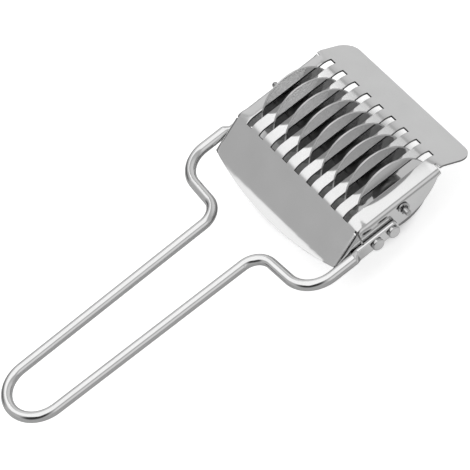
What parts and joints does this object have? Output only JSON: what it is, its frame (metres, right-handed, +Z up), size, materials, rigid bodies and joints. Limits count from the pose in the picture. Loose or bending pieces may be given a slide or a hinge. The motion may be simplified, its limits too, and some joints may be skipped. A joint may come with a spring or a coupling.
{
  "type": "noodle roller cutter",
  "caption": "Hand roller that cuts rolled-out dough into strips: round blades turn inside a slotted sheet-steel cover on a bent-rod handle.",
  "frame": {"origin": "under the middle of the tool's overall box, level with the blades' lowest edges", "axes": "+Y from the handle's end towards the cover's front lip, +X along the blades' axle to the right, +Z up, out of the slotted top"},
  "size_m": [0.0944, 0.1958, 0.0334],
  "materials": {
    "polished_sheet_steel": "polished sheet steel",
    "bright_rod_steel": "bright drawn rod, polished",
    "ground_blade_steel": "ground and polished",
    "turned_pin_steel": "turned, satin"
  },
  "bodies": {
    "frame": {"cover": "polished_sheet_steel", "handle": "bright_rod_steel", "axle": "turned_pin_steel", "axle_clip_left": "turned_pin_steel", "axle_clip_right": "turned_pin_steel", "rivet_left_front": "bright_rod_steel", "rivet_left_rear": "bright_rod_steel", "rivet_right_front": "bright_rod_steel", "rivet_right_rear": "bright_rod_steel"},
    "drum": {"blade_1": "ground_blade_steel", "blade_2": "ground_blade_steel", "blade_3": "ground_blade_steel", "blade_4": "ground_blade_steel", "blade_5": "ground_blade_steel", "blade_6": "ground_blade_steel", "blade_7": "ground_blade_steel", "blade_8": "ground_blade_steel", "blade_9": "ground_blade_steel", "spacer_1": "turned_pin_steel", "spacer_2": "turned_pin_steel", "spacer_3": "turned_pin_steel", "spacer_4": "turned_pin_steel", "spacer_5": "turned_pin_steel", "spacer_6": "turned_pin_steel", "spacer_7": "turned_pin_steel", "spacer_8": "turned_pin_steel", "end_collar_left": "turned_pin_steel", "end_collar_right": "turned_pin_steel"}
  },
  "joints": [
    {"name": "drum_spin", "type": "hinge", "parent": "frame", "child": "drum", "pos_m": [0, 0.06555, 0.0167], "axis": [1, 0, 0], "continuous": true}
  ]
}
